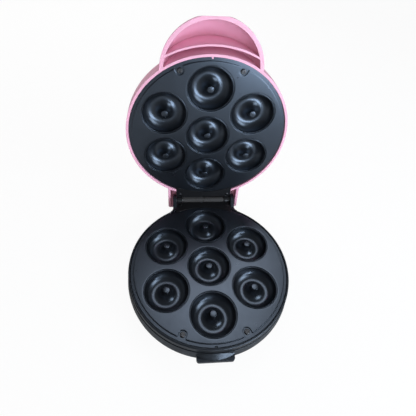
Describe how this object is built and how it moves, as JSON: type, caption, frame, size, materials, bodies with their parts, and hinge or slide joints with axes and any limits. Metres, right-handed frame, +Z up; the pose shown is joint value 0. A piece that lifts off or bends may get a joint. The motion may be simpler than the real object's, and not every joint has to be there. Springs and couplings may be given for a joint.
{
  "type": "donut maker",
  "caption": "Open electric donut maker: black base and pink domed lid on a rear hinge, each with a cast plate of ring cups, and a scooped half-moon handle on the lid.",
  "frame": {"origin": "on the table, under the middle of the open appliance's bounding box", "axes": "+Z up, +Y from the front tab to the hinge, +X to the right seen from the front"},
  "size_m": [0.2, 0.2758, 0.284],
  "materials": {
    "black_plastic": "moulded black plastic, satin",
    "pink_plastic": "moulded pink plastic, gloss",
    "nonstick_plate": "cast aluminium with dark non-stick coat",
    "rubber": "matt rubber",
    "steel": "zinc-plated steel",
    "dark_screw": "blackened steel",
    "heater_tube": "oxidised steel tube",
    "reflector": "bright pressed sheet",
    "ceramic": "white ceramic or bakelite",
    "red_lens": "translucent red",
    "green_lens": "translucent green",
    "board": "paper laminate",
    "lamp_glass": "clear glass"
  },
  "bodies": {
    "base": {"base_shell": "black_plastic", "base_rim": "black_plastic", "base_hinge_block": "black_plastic", "rubber_feet": "rubber", "cord_gland": "rubber", "base_thermostat": "ceramic", "thermal_fuse": "ceramic", "fuse_clip": "steel", "terminal_block": "ceramic", "terminal_block_screws": "steel", "hinge_pin": "steel", "base_plate": "nonstick_plate", "base_plate_screws": "dark_screw", "base_heating_element": "heater_tube", "base_heat_shield": "reflector", "base_shield_screws": "steel", "base_hinge_bracket": "black_plastic", "base_hinge_screws": "dark_screw"},
    "lid": {"lid_shell": "pink_plastic", "lid_plate": "nonstick_plate", "lid_plate_screws": "dark_screw", "lid_heating_element": "heater_tube", "lid_heat_shield": "reflector", "lid_shield_screws": "steel", "lid_hinge_bracket": "black_plastic", "lid_hinge_screws": "dark_screw", "power_lens": "red_lens", "ready_lens": "green_lens", "lamp_board": "board", "indicator_lamps": "lamp_glass"}
  },
  "joints": [
    {"name": "lid_hinge", "type": "hinge", "parent": "base", "child": "lid", "pos_m": [0, 0.07307, 0.0445], "axis": [1, 0, 0], "range_deg": [0, 96]}
  ]
}
